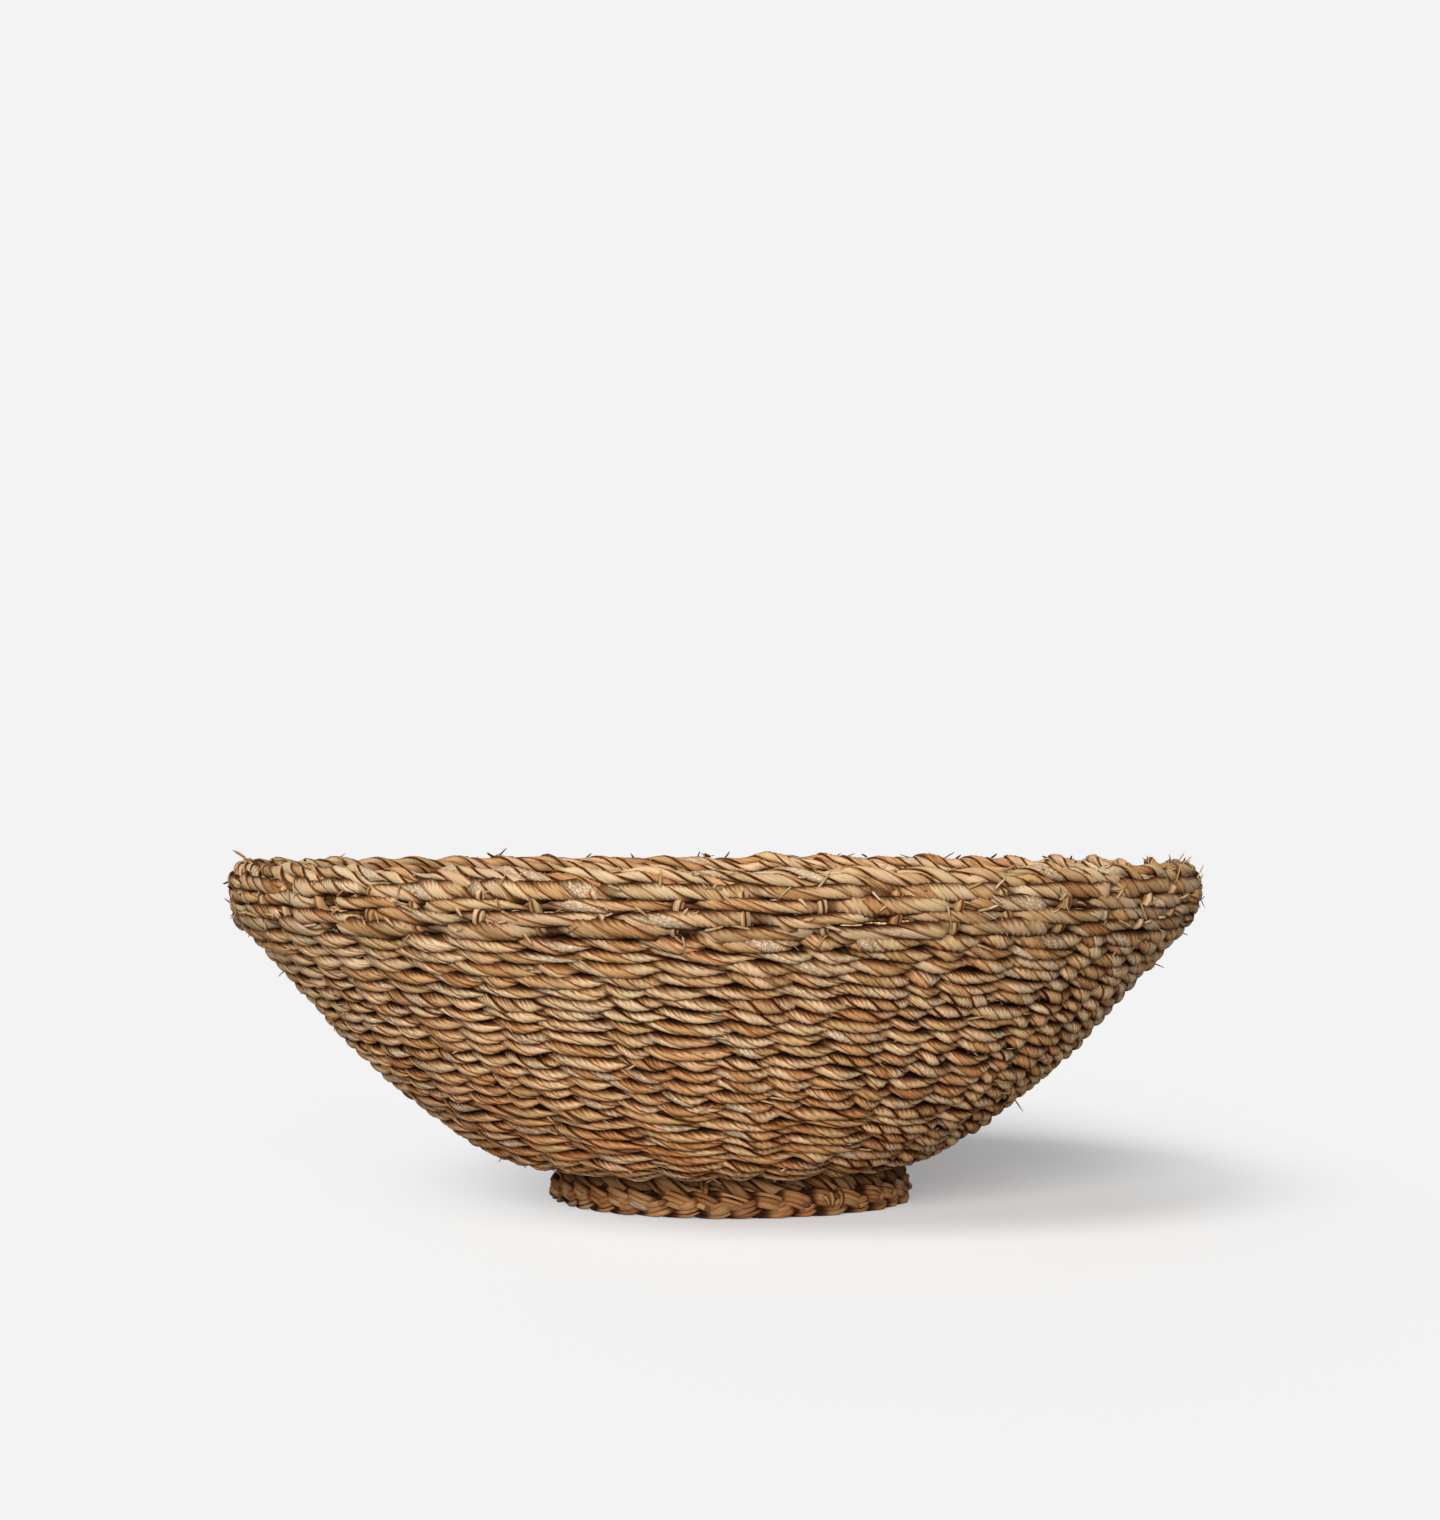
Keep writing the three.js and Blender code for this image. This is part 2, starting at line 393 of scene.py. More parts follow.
def lineAt(way):
    # radius and height of the line, and its direction up the slope
    way = np.atleast_1d(way).astype(float)
    low = np.clip(np.searchsorted(lineWay, way) - 1, 0, len(lineWay) - 2)
    gap = (lineWay[low + 1] - lineWay[low])[:, None]
    share = ((way - lineWay[low]) / gap[:, 0])[:, None]
    first, last = linePoints[low], linePoints[low + 1]
    leave, arrive = lineSlope[low] * gap, lineSlope[low + 1] * gap
    two, three = share ** 2, share ** 3
    inside = first * (2 * three - 3 * two + 1) + last * (3 * two - 2 * three)
    inside = inside + leave * (three - 2 * two + share) + arrive * (three - two)
    before, after = first + lineSlope[low] * share * gap, last + arrive * (share - 1)
    point = np.where(share < 0, before, np.where(share > 1, after, inside))
    slopeShare = np.clip(share, 0, 1)
    along = lineSlope[low] * (1 - slopeShare) + lineSlope[low + 1] * slopeShare
    along = along / np.hypot(along[:, 0], along[:, 1])[:, None]
    return point, along


def heading(angle):
    return np.array([math.cos(angle), math.sin(angle), 0])


def headings(angles):
    return np.stack([np.cos(angles), np.sin(angles), np.zeros_like(angles)], axis=1)


def outwardFrom(place):
    return place * np.array([1, 1, 0]) / math.hypot(place[0], place[1])


def eased(share):
    return share * share * (3 - 2 * share)


def smoothStep(value, low, high):
    return eased(np.clip((value - low) / (high - low), 0, 1))


def loopNoise(rng, angle, knots, strength):
    # a smooth random value round a closed ring
    values = rng.normal(0, strength, knots)
    place = angle / fullTurn * knots
    low = np.floor(place).astype(int)
    share = eased(place - low)
    return values[low % knots] * (1 - share) + values[(low + 1) % knots] * share


def rolledStrand(sheet, places, lay, strandKey, marks):
    # a grid whose rows are rolled up round the strand's path; its columns run along the strand
    sides, segments = places.shape[0] - 1, places.shape[1] - 1
    grid = bmesh.new()
    grid.loops.layers.uv.new("UVMap")
    bmesh.ops.create_grid(grid, x_segments=segments, y_segments=sides, size=1, calc_uvs=True)
    mesh = bpy.data.meshes.new("strand")
    grid.to_mesh(mesh)
    grid.free()
    mesh.vertices.foreach_set("co", places.reshape(-1))
    uvs = np.zeros(len(mesh.loops) * 2)
    layer = mesh.uv_layers[0]
    layer.uv.foreach_get("vector", uvs)
    uvs = uvs.reshape(-1, 2)
    nth = np.rint(uvs[:, 0] * segments).astype(int)
    uvs[:, 0] = lay[nth]
    layer.uv.foreach_set("vector", uvs.reshape(-1))
    ones = np.ones(len(mesh.vertices))
    marks = {"strand": ones * strandKey, "open": ones, "facing": ones} | marks
    for name, values in marks.items():
        mark = mesh.attributes.new(name, "FLOAT", "POINT")
        mark.data.foreach_set("value", values.reshape(-1))
    sheet.from_mesh(mesh)
    bpy.data.meshes.remove(mesh)


def leafSection(rope):
    # the section of a ply: rounded outside, flat against the other plies
    around = np.linspace(0, fullTurn, rope["sides"] + 1)[:, None]
    rise = np.sin(around)
    thick = np.where(rise > 0, rope["thick"], rope["inner"])
    thick = thick * np.sign(rise) * np.abs(rise) ** rope["point"]
    wide = rope["wide"] * np.cos(around)
    roll = rope["roll"]
    rise = thick * math.cos(roll) + wide * math.sin(roll)
    side = wide * math.cos(roll) - thick * math.sin(roll)
    return rise, side


# the painted shade between rows begins and ends here: 0 is a rope's front, 1 its top and its bottom
creviceShadeShares = (0.62, 0.93)


def twistStrand(sheet, path, psi, rope, swell, strandKey, swing=None):
    # one ply of a twisted rope; marked are the light that a point is painted with, less at its top
    # and bottom and where it lies deep behind a stake, and the side it faces, which sets where its
    # painted shade falls
    centre, out, up, outScale, upScale = path
    rise, side = leafSection(rope)
    rise = rise * swell + rope["core"]
    side = side * swell
    outPart = rise * np.cos(psi) - side * np.sin(psi)
    upPart = rise * np.sin(psi) + side * np.cos(psi)
    seen = rope["seenFrom"]
    reach = np.hypot(outPart, upPart)
    facing = (outPart * math.cos(seen) + upPart * math.sin(seen)) / reach
    paintedLight = 1 - rope["creviceShade"] * smoothStep(np.abs(upPart) / reach, *creviceShadeShares)
    outPart, upPart = outPart * outScale, upPart * upScale
    places = centre + outPart[:, :, None] * out + upPart[:, :, None] * up
    if swing is not None:
        off = np.abs(swing + outPart)
        paintedLight = paintedLight * smoothStep(off, rope["shut"], rope["clear"])
    marks = {"open": paintedLight, "facing": facing}
    rolledStrand(sheet, places, (seen - psi) / fullTurn, strandKey, marks)


def ringFrames(angle, way, swing):
    # places and directions of a rope that runs round the wall line
    point, along = lineAt(way)
    radial = headings(angle)
    out = radial * along[:, 1:] - upright * along[:, :1]
    up = radial * along[:, :1] + upright * along[:, 1:]
    centre = radial * point[:, :1] + upright * point[:, 1:] + out * swing[:, None]
    return centre, out, up


# Stakes stand a little unevenly; stakePlace counts them from the start of the ring
stakeCount = 48
stakeStep = fullTurn / stakeCount
stakeUneven = 0.11
stakeDrift = np.random.default_rng(5).normal(0, stakeUneven, stakeCount)


def stakePlace(angle):
    place = angle / stakeStep
    low = np.floor(place).astype(int)
    share = eased(place - low)
    place = place + stakeDrift[low % stakeCount] * (1 - share)
    return place + stakeDrift[(low + 1) % stakeCount] * share


def wovenRope(sheet, rng, closed, angle, turns, way, theta, rope):
    # in front of one stake and behind the next, squeezed flat in front and narrow where it crosses
    share = np.cos(theta)
    if "dip" in rope:
        # the rim's ropes stay in front and only dip behind a stake
        share = 1 - 2 * smoothStep(-share, *rope["dip"])
    over = np.abs(share)
    reach = rope["swing"] * (1 + loopNoise(rng, closed, stakeCount, rope["loose"]))
    swing = np.sign(share) * over ** rope["round"] * reach + rope["proud"]
    centre, out, up = ringFrames(closed, way, swing)
    climb = rope["climb"] + loopNoise(rng, closed, stakeCount, rope["climbStray"])
    centre = centre + up * (climb * np.sin(theta))[:, None]
    slack = loopNoise(rng, closed, turns, rope["slack"])
    start = rng.uniform(0, fullTurn)
    tall = rope["tall"] * (1 + loopNoise(rng, closed, stakeCount, rope["fat"]))
    upScale = tall * (rope["crossTall"] + (1 - rope["crossTall"]) * over ** rope["lens"])
    outScale = rope["flat"] + (rope["crossDeep"] - rope["flat"]) * (1 - over)
    path = (centre, out, up, outScale, upScale)
    for ply in range(rope["plies"]):
        psi = start + ply / rope["plies"] * fullTurn - turns * angle + slack
        swell = 1 + loopNoise(rng, closed, turns * 2, rope["swell"])
        twistStrand(sheet, path, psi, rope, swell, rng.uniform(0, 1), swing - rope["proud"])


fewestTurns = 8


def wovenRow(sheet, rng, way, weave, wander, rope):
    # weave: stakes to a group, the phases of the row's ropes, and the seed of their stray crossings
    radius = lineAt(way)[0][0, 0]
    for phase in weave["phases"]:
        if rng.random() < rope["thicker"]:
            rope = dict(rope, **rope["more"], lay=rope["lay"] * rope["longer"])
        uneven = 1 + rng.normal(0, rope["layStray"])
        turns = max(fewestTurns, round(fullTurn * radius / rope["lay"] * uneven))
        angle = np.linspace(0, fullTurn, turns * rope["perTurn"] + 1)
        closed = angle % fullTurn
        crossings = rng if weave["seed"] is None else np.random.default_rng(weave["seed"])
        stray = loopNoise(crossings, closed, stakeCount // weave["size"], rope["stray"])
        theta = math.pi * (stakePlace(closed) / weave["size"] - 0.5 + stray + phase)
        place = way + np.interp(closed, wander[0], wander[1])
        wovenRope(sheet, rng, closed, angle, turns, place, theta, rope)


def finished(name, sheet, material, nodes):
    mesh = bpy.data.meshes.new(name)
    bmesh.ops.remove_doubles(sheet, verts=sheet.verts, dist=weldGap)
    bmesh.ops.recalc_face_normals(sheet, faces=sheet.faces)
    sheet.to_mesh(mesh)
    sheet.free()
    mesh.shade_smooth()
    mesh.materials.append(material)
    piece = placed(name, mesh)
    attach(piece, "root")
    if nodes:
        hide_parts(*nodes)


threePly = {"plies": 3, "core": 1.5 * mm, "thick": 2.2 * mm, "inner": 1.4 * mm, "wide": 2.9 * mm}
fourPly = {"plies": 4, "core": 1.9 * mm, "thick": 1.9 * mm, "inner": 1.5 * mm, "wide": 2.5 * mm}
wallRope = {
    "pitch": 7.75 * mm,
    "pairedTo": 78 * mm,
    "lay": 25 * mm,
    "layPaired": 31 * mm,
    "layThick": 30 * mm,
    "thickRows": 3,
    "thickTall": 1.12,
    "wander": 0.55 * mm,
    "wanderKept": 0.75,
    "wanderKnots": 30,
    # some ropes are thicker, of more plies
    "thicker": 0.7,
    "more": threePly,
    "longer": 1.25,
    # a ply's section
    "plies": 2,
    "perTurn": 12,
    "sides": 10,
    "core": 0.7 * mm,
    "thick": 3.0 * mm,
    "inner": 0.6 * mm,
    "wide": 3.7 * mm,
    "point": 0.85,
    "roll": math.radians(8),
    # the rope's way round the stakes
    "swing": 3.1 * mm,
    "round": 1.1,
    "proud": 2.2 * mm,
    "climb": -1.35 * mm,
    # how squeezed it is, in front and where it crosses
    "tall": 1.1,
    "flat": 0.74,
    "crossTall": 0.68,
    "crossDeep": 0.8,
    "lens": 1.2,
    # how uneven it is
    "layStray": 0.18,
    "tallStray": 0.07,
    "loose": 0.12,
    "climbStray": 0.5 * mm,
    "stray": 0.17,
    "slack": 0.6,
    "swell": 0.1,
    "fat": 0.09,
    # where its painted shade falls, seen from its front
    "creviceShade": 1.0,
    "shut": 1.0 * mm,
    "clear": 3.6 * mm,
    "seenFrom": math.radians(43),
}
ring = np.linspace(0, fullTurn, 361)  # where a row's wander is worked out


def makeWall(material):
    rng = np.random.default_rng(11)
    count = round(wallEnd / wallRope["pitch"])
    pitch = wallEnd / count
    level = np.zeros_like(ring)
    row = 0
    for nth, node in enumerate(wallNodes):
        sheet = bmesh.new()
        while row < count and (row + 0.5) * pitch / wallPitch < nth + 1:
            way = (row + 0.5) * pitch
            paired = way < wallRope["pairedTo"]
            tall = wallRope["tall"] * (1 + rng.normal(0, wallRope["tallStray"]))
            lay = wallRope["layPaired"] if paired else wallRope["lay"]
            if row >= count - wallRope["thickRows"]:
                tall, lay = tall * wallRope["thickTall"], wallRope["layThick"]
            rope = dict(wallRope, tall=tall, lay=lay)
            weave = {"size": 2 if paired else 1, "phases": (0, 1), "seed": rng.integers(1 << 30)}
            drift = loopNoise(rng, ring % fullTurn, rope["wanderKnots"], rope["wander"])
            level = level * rope["wanderKept"] + drift
            wovenRow(sheet, rng, way, weave, (ring, level), rope)
            row += 1
        finished(node + "_rope", sheet, material, [node])
    print("wall woven:", count, "rows")


baseRope = dict(wallRope, lay=30 * mm, tall=0.9, innerRounds=2, innerPitch=7.5 * mm)


def makeBase(material):
    rng = np.random.default_rng(31)
    for nth, node in enumerate(baseNodes):
        sheet = bmesh.new()
        weave = {"size": 4, "phases": (0, 1), "seed": nth}
        # the first course closes in on the cross of cords
        rounds = 1 + (baseRope["innerRounds"] if nth == 0 else 0)
        for inner in range(rounds):
            way = lineWay[nth] - inner * baseRope["innerPitch"]
            wovenRow(sheet, rng, way, weave, (ring, np.zeros_like(ring)), baseRope)
        finished(node + "_rope", sheet, material, [node])
    print("base woven")


rimRope = dict(
    wallRope,
    lay=43 * mm,
    rowTall=(1.15, 1, 1.02, 1.1),
    wander=0.6 * mm,
    wanderKnots=40,
    thicker=0.5,
    more=fourPly,
    longer=1.05,
    plies=3,
    perTurn=16,
    core=1.5 * mm,
    thick=2.3 * mm,
    inner=1.4 * mm,
    wide=3.0 * mm,
    roll=math.radians(12),
    swing=2.0 * mm,
    dip=(0.35, 1.0),
    proud=2.8 * mm,
    climb=0,
    tall=1.0,
    flat=0.68,
    crossTall=0.9,
    crossDeep=0.75,
    layStray=0.15,
    loose=0.25,
    climbStray=0.6 * mm,
    stray=0.1,
    slack=0.9,
    swell=0.2,
    fat=0.12,
    shut=-0.6 * mm,
    clear=1.6 * mm,
    seenFrom=math.radians(20),
)
# the border is three thin ropes laid round each other, with a lump over each stake
borderRope = dict(
    rimRope,
    ropes=3,
    ropeTurns=17,
    ropeReach=2.5 * mm,
    ropeKnots=30,
    ropeSlack=0.4,
    plies=2,
    turns=50,
    perTurn=12,
    sides=8,
    core=0.5 * mm,
    thick=2.2 * mm,
    inner=0.4 * mm,
    wide=2.7 * mm,
    point=0.9,
    slack=0.7,
    flat=1.0,
    wander=0.5 * mm,
    lump=0.8 * mm,
    sunk=1 * mm,
    creviceShade=0,
)


def makeRim(material):
    rng = np.random.default_rng(23)
    for nth, node in enumerate(rimNodes):
        sheet = bmesh.new()
        level = loopNoise(rng, ring % fullTurn, rimRope["wanderKnots"], rimRope["wander"])
        weave = {"size": 1, "phases": (nth % 2,), "seed": None}
        rope = dict(rimRope, tall=rimRope["tall"] * rimRope["rowTall"][nth])
        wovenRow(sheet, rng, lineWay[firstRim + nth], weave, (ring, level), rope)
        finished(node + "_rope", sheet, material, [node])
    sheet = bmesh.new()
    laidRope(sheet, rng, (borderRadius, borderHeight - borderRope["sunk"]), borderRope)
    finished("rim_border_rope", sheet, material, ["rim_border"])
    print("rim woven")


def laidRope(sheet, rng, middle, rope, aside=0.0):
    # a level ring of thin twisted ropes laid round each other, which isn't woven
    radius, level = middle
    turns = rope["turns"]
    angle = np.linspace(0, fullTurn, turns * rope["perTurn"] + 1)
    closed = angle % fullTurn
    radial = headings(closed)
    up = np.broadcast_to(upright, radial.shape)
    ones = np.ones_like(closed)
    wander = loopNoise(rng, closed, turns * 2, rope["wander"])
    rise = loopNoise(rng, closed, turns * 2, rope["wander"])
    rise = rise + rope["lump"] * np.cos(closed * stakeCount)
    for nth in range(rope["ropes"]):
        phase = nth / rope["ropes"] * fullTurn - rope["ropeTurns"] * angle
        phase = phase + loopNoise(rng, closed, rope["ropeKnots"], rope["ropeSlack"])
        across = (radius + wander + rope["ropeReach"] * np.cos(phase))[:, None]
        height = (level + rise + rope["ropeReach"] * np.sin(phase))[:, None]
        centre = radial * across + upright * height + np.array([aside, 0, 0])
        path = (centre, radial, up, rope["flat"] * ones, rope["tall"] * ones)
        slack = loopNoise(rng, closed, turns, rope["slack"])
        for ply in range(rope["plies"]):
            psi = ply / rope["plies"] * fullTurn - turns * angle + slack
            swell = 1 + loopNoise(rng, closed, turns * 2, rope["swell"])
            twistStrand(sheet, path, psi, rope, swell, rng.uniform(0, 1))


# Stake cords: straight and level in the cross, then fanned out and up the wall
stakes = {
    "cordsEachWay": 12,
    "cordPitch": 5.4 * mm,
    "layerPitch": 4.9 * mm,
    "crossTurn": math.pi / 12,
    "crossSteps": 4,
    "turnShare": 0.4,
    "fanStart": 0.4,
    "openingStart": 30 * mm,
    "openingEnd": 86 * mm,
    "station": 2.5 * mm,
    "topGap": 2 * mm,
    "smoothed": 3,
    # a ply's section and lay
    "plies": 2,
    "plyStart": 0.25,
    "sides": 6,
    "lay": 13 * mm,
    "perTurn": 7,
    "core": 0.4 * mm,
    "thick": 1.8 * mm,
    "inner": 0.3 * mm,
    "wide": 2.2 * mm,
    "point": 1.0,
    "roll": math.radians(8),
    "swell": 0.08,
    "seenFrom": 0,
    "creviceShade": 0,
    # in the rim a stake weaves in and out, leans and shows untwisted
    "rimStation": 0.8 * mm,
    "rimSwing": 2.0 * mm,
    "rimHold": 0.45,
    "rimLean": 1.7 * mm,
    "rimStray": 0.4,
    "rimStrayMost": 1.5,
    "rimSwell": 1.22,
    "rimSwellStray": 0.12,
}


def stakeAngle(end, way):
    # in fours in the base, in pairs in the lower wall, then evenly
    radius = lineAt(way)[0][:, 0]

    def grouped(size):
        group = end // size
        middle = (group + 0.5) * size * stakeStep
        return middle + (end - group * size - (size - 1) / 2) * stakes["cordPitch"] / radius

    toPairs = smoothStep(way, -2 * basePitch, 0)
    toSingles = smoothStep(way, stakes["openingStart"], stakes["openingEnd"])
    inGroups = grouped(4) * (1 - toPairs) + grouped(2) * toPairs
    return inGroups * (1 - toSingles) + (end + 0.5) * stakeStep * toSingles


def stakeHalf(end, across, facing, level):
    # from beside the cross to the rim
    reach = stakes["cordPitch"] * (stakes["cordsEachWay"] - 1) / 2
    forward = heading(facing)
    aside = np.cross(upright, forward)
    start = lineWay[0] - wallPitch * stakes["fanStart"]
    rimFoot = rimStart - rimPitch
    top = lineWay[-1] + rimPitch / 2 - stakes["topGap"] / 2
    inWall = np.arange(start, rimFoot, stakes["station"])
    ways = np.concatenate([inWall, np.arange(rimFoot, top, stakes["rimStation"])])
    angle = stakeAngle(end, ways)

    inRim = smoothStep(ways, rimFoot, rimStart)
    nth = (ways - rimStart) / rimPitch
    side = -np.cos(math.pi * (nth + end))
    stray = np.random.default_rng(end)
    lean = stray.normal(0, stakes["rimLean"], 2)
    less = stakes["rimStray"] * stray.uniform(0, stakes["rimStrayMost"])
    weave = stakes["rimSwing"] * (1 - less) * np.sign(side) * np.abs(side) ** stakes["rimHold"]
    swing = inRim * (weave + rimRope["proud"])
    angle = angle + inRim * (lean[0] + lean[1] * nth) / linePoints[-1, 0]
    onLine = ringFrames(angle, ways, swing)[0]

    inCross = np.linspace(0, reach, stakes["crossSteps"])[:, None]
    inCross = aside * across + forward * inCross
    leaving = forward * (reach + stakes["cordPitch"] / 2) + aside * across
    turning = leaving * (1 - stakes["turnShare"]) + onLine[0] * stakes["turnShare"]
    inBase = np.concatenate([inCross, [leaving, turning]])
    inBase[:, 2] = linePoints[0, 1] + level
    return np.concatenate([inBase, onLine])


def makeStakes(material):
    rng = np.random.default_rng(41)
    count = stakes["cordsEachWay"]
    for layer, facing, prefix in ((-1, math.pi / 2, "lower"), (1, 0, "upper")):
        turned = stakes["crossTurn"] + facing
        level = layer * stakes["layerPitch"] / 2
        firstEnd = round(turned / stakeStep) - count // 2
        for nth in range(count):
            across = (nth - (count - 1) / 2) * stakes["cordPitch"]
            near = stakeHalf((firstEnd + nth) % stakeCount, across, turned, level)
            farEnd = (firstEnd + stakeCount // 2 + count - 1 - nth) % stakeCount
            far = stakeHalf(farEnd, -across, turned + math.pi, level)
            sheet = bmesh.new()
            twistedCord(sheet, rng, np.concatenate([far[::-1], near[1:]]))
            node = f"{prefix}_stake_cord_{nth + 1:02d}"
            finished(node + "_twist", sheet, material, [node])
    print("stakes laid:", 2 * count)


def twistedCord(sheet, rng, route):
    # an open twisted cord along a route of points, with closer stations in the rim
    steps = np.linalg.norm(np.diff(route, axis=0), axis=1)
    length = np.concatenate([[0], np.cumsum(steps)])
    rimHeight = linePoints[firstRim, 1] - rimPitch
    height = np.interp(np.arange(0, length[-1], mm), length, route[:, 2])
    coarse = stakes["lay"] / stakes["perTurn"]
    station = np.where(height > rimHeight, stakes["rimStation"], coarse)
    share = np.concatenate([[0], np.cumsum(mm / station)])
    segments = int(share[-1])
    even = np.linspace(0, share[-1], segments + 1)
    run = np.interp(even, share, np.linspace(0, length[-1], len(share)))
    centre = np.stack([np.interp(run, length, route[:, axis]) for axis in range(3)], axis=1)
    for _ in range(stakes["smoothed"]):
        centre[1:-1] = (centre[:-2] + 2 * centre[1:-1] + centre[2:]) / 4

    forward = np.gradient(centre, axis=0)
    forward /= np.linalg.norm(forward, axis=1)[:, None]
    radial = centre * np.array([1, 1, 0])
    rising = np.where(centre[:, 2:] > linePoints[0, 1] + stakes["layerPitch"], 1.0, 0.0)
    guide = radial / (np.linalg.norm(radial, axis=1)[:, None] + mm) * rising - upright
    aside = np.cross(forward, guide)
    aside /= np.linalg.norm(aside, axis=1)[:, None]
    ones = np.ones(segments + 1)
    path = (centre, np.cross(aside, forward), aside, ones, ones)
    fromEnd = np.minimum(np.arange(segments + 1), np.arange(segments + 1)[::-1])
    taper = np.minimum(1, fromEnd / 2)

    # in the rim the plies stop twisting and lie side by side
    untwisted = smoothStep(centre[:, 2], rimHeight, rimHeight + rimPitch)
    fuller = 1 + (stakes["rimSwell"] - 1) * untwisted
    twist = np.concatenate([[0], np.cumsum(np.diff(run) * (1 - untwisted[1:]))]) / stakes["lay"]
    twist *= round(twist[-1] * 2) / (twist[-1] * 2)
    for ply in range(stakes["plies"]):
        psi = (ply / stakes["plies"] + stakes["plyStart"] - twist) * fullTurn
        uneven = 1 + rng.normal(0, stakes["swell"])
        uneven = uneven + untwisted * rng.normal(0, stakes["rimSwellStray"])
        twistStrand(sheet, path, psi, stakes, taper * fuller * uneven, rng.uniform(0, 1))


foot = {
    "strands": 3,
    "leaves": 3,
    "repeat": 45 * mm,
    "perRepeat": 26,
    "lift": 3.3 * mm,
    "weave": 2.2 * mm,
    "braided": 0.8,
    "laid": 0.3,
    "outwards": 1 * mm,
    "raised": 1 * mm,
    "floorGap": 0.3 * mm,
    # a leaf's section
    "sides": 10,
    "thick": 2.1 * mm,
    "inner": 2.1 * mm,
    "wide": 1.5 * mm,
    "leafGap": 1.25 * mm,
    "point": 1.0,
    "roll": math.radians(14),
    "phaseStray": 0.2,
    "swell": 0.28,
    "wander": 0.7 * mm,
    # where the painted shade on a strand begins and ends, by its depth
    "shut": -1.0 * mm,
    "clear": 1.0 * mm,
    "rootShare": 0.6,
}
footRope = dict(
    borderRope,
    ropeTurns=9,
    ropeReach=3.2 * mm,
    turns=21,
    core=0.7 * mm,
    thick=2.4 * mm,
    wide=3.0 * mm,
    lump=0,
    wander=0.6 * mm,
    inset=4 * mm,
    raised=1.2 * mm,
    rootOut=1 * mm,
)


def ringOf(node):
    # a level ring of the frame: how far aside its middle is, its reach and its middle height
    low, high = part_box(node)
    return (low[0] + high[0]) / 2, (high[0] - low[0]) / 2, (low[2] + high[2]) / 2


def braidedRing(sheet, rng, middle, aside):
    # strands of a plait swing up and down and pass over each other
    radius, level = middle
    repeats = round(fullTurn * radius / foot["repeat"])
    angle = np.linspace(0, fullTurn, repeats * foot["perRepeat"] + 1)
    closed = angle % fullTurn
    radial = headings(closed)
    fore = np.cross(upright, radial)
    pull = fullTurn * foot["lift"] / foot["repeat"]
    rise, side = leafSection(foot)
    lay = angle * repeats / fullTurn * 2
    for strand in range(foot["strands"]):
        phase = angle * repeats + strand / foot["strands"] * fullTurn
        phase = phase + loopNoise(rng, closed, repeats * 2, foot["phaseStray"])
        lift = foot["lift"] * np.sin(phase)
        depth = foot["braided"] * np.sin(2 * phase) + foot["laid"] * np.cos(phase)
        depth = -foot["weave"] * depth
        lean = np.arctan(pull * np.cos(phase))[:, None]
        wideWay = upright * np.cos(lean) - fore * np.sin(lean)
        wander = loopNoise(rng, closed, repeats * 3, foot["wander"])
        # painted shade: a strand is painted darker where it lies deep under the others
        paintedLight = smoothStep(depth, foot["shut"], foot["clear"])
        paintedLight = np.broadcast_to(paintedLight, (foot["sides"] + 1, len(angle)))
        for leafNth in range(foot["leaves"]):
            offset = (leafNth - (foot["leaves"] - 1) / 2) * 2 * foot["leafGap"]
            swell = 1 + loopNoise(rng, closed, repeats * 3, foot["swell"])
            centre = radial * (radius + depth + wander)[:, None]
            centre = centre + upright * (level + lift)[:, None]
            centre = centre + wideWay * offset + np.array([aside, 0, 0])
            places = centre + (rise * swell)[:, :, None] * radial
            places = places + (side * swell)[:, :, None] * wideWay
            places[:, :, 2] = np.maximum(places[:, :, 2], foot["floorGap"])
            rolledStrand(sheet, places, lay, rng.uniform(0, 1), {"open": paintedLight})


def makeFoot(material, courseMaterial):
    rng = np.random.default_rng(53)
    aside, reach, level = ringOf("foot_braid")
    strandReach = foot["weave"] + foot["thick"]
    middle = (reach - strandReach + foot["outwards"], level + foot["raised"])
    sheet = bmesh.new()
    braidedRing(sheet, rng, middle, aside)
    root = middle[0] + foot["weave"] + foot["thick"] * foot["rootShare"]
    footEnds(sheet, rng, "braid", root, aside)
    finished("foot_braid_plait", sheet, material, ["foot_braid"])

    _, reach, level = ringOf("foot_course")
    middle = (reach - footRope["inset"], level + footRope["raised"])
    sheet = bmesh.new()
    laidRope(sheet, rng, middle, footRope, aside)
    root = middle[0] + footRope["ropeReach"] + footRope["rootOut"]
    footEnds(sheet, rng, "course", root, aside)
    finished("foot_course_rope", sheet, courseMaterial, ["foot_course"])
    print("foot plaited")


